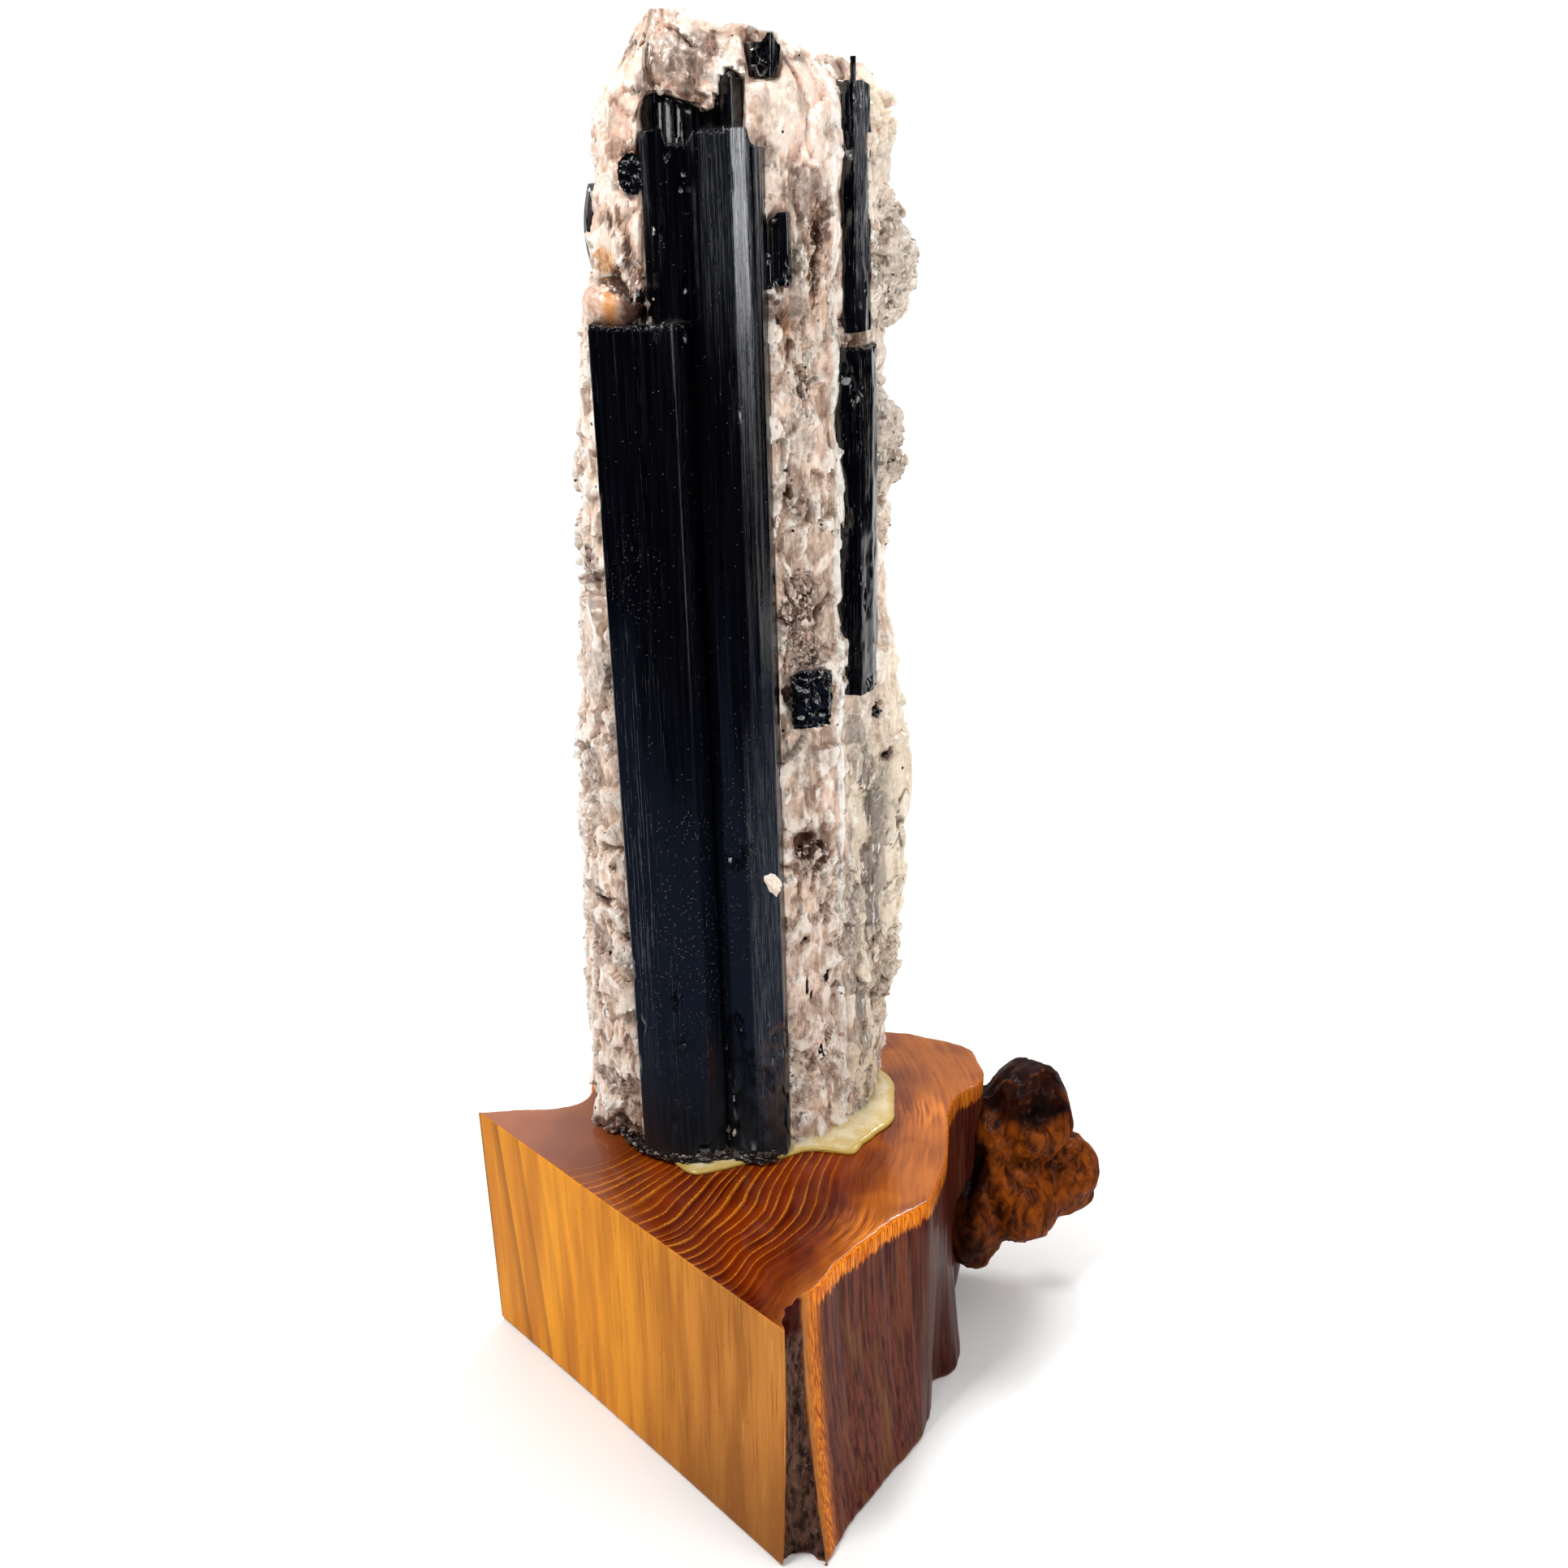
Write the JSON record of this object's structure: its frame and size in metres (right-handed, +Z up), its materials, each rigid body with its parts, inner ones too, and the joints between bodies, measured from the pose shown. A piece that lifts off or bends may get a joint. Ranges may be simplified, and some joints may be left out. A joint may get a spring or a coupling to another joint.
{
  "type": "tourmaline specimen",
  "caption": "Tall black tourmaline crystal group in pale feldspar matrix, glued upright on a varnished live-edge wood wedge with a burl knob.",
  "frame": {"origin": "centre of the footprint box, on the surface that the wood wedge rests on", "axes": "+Z up along the crystals, +X to the burl knob, -Y to the front corner of the wedge, where the main crystal faces"},
  "size_m": [0.1644, 0.1284, 0.317],
  "materials": {
    "wood": "varnished, semi-gloss, orange-brown saw cut, dark red-brown top and purple-brown live edge",
    "burl": "varnished, gnarled, glossy red-brown",
    "glue": "cured clear-yellow resin, glossy",
    "matrix": "broken pinkish feldspar with grey quartz, silvery mica and iron stains",
    "tourmaline": "black, striated along its length, satin to glassy"
  },
  "bodies": {
    "root": {"wood_base": "wood", "burl_knob": "burl", "glue_bed": "glue", "matrix": "matrix", "main_tourmaline": "tourmaline", "top_crystal": "tourmaline", "small_crystal": "tourmaline", "rough_crystal": "tourmaline", "side_tourmaline_upper": "tourmaline", "side_spike": "tourmaline", "side_tourmaline_lower": "tourmaline", "sliver_crystal": "tourmaline", "round_crystal": "tourmaline"}
  },
  "joints": []
}
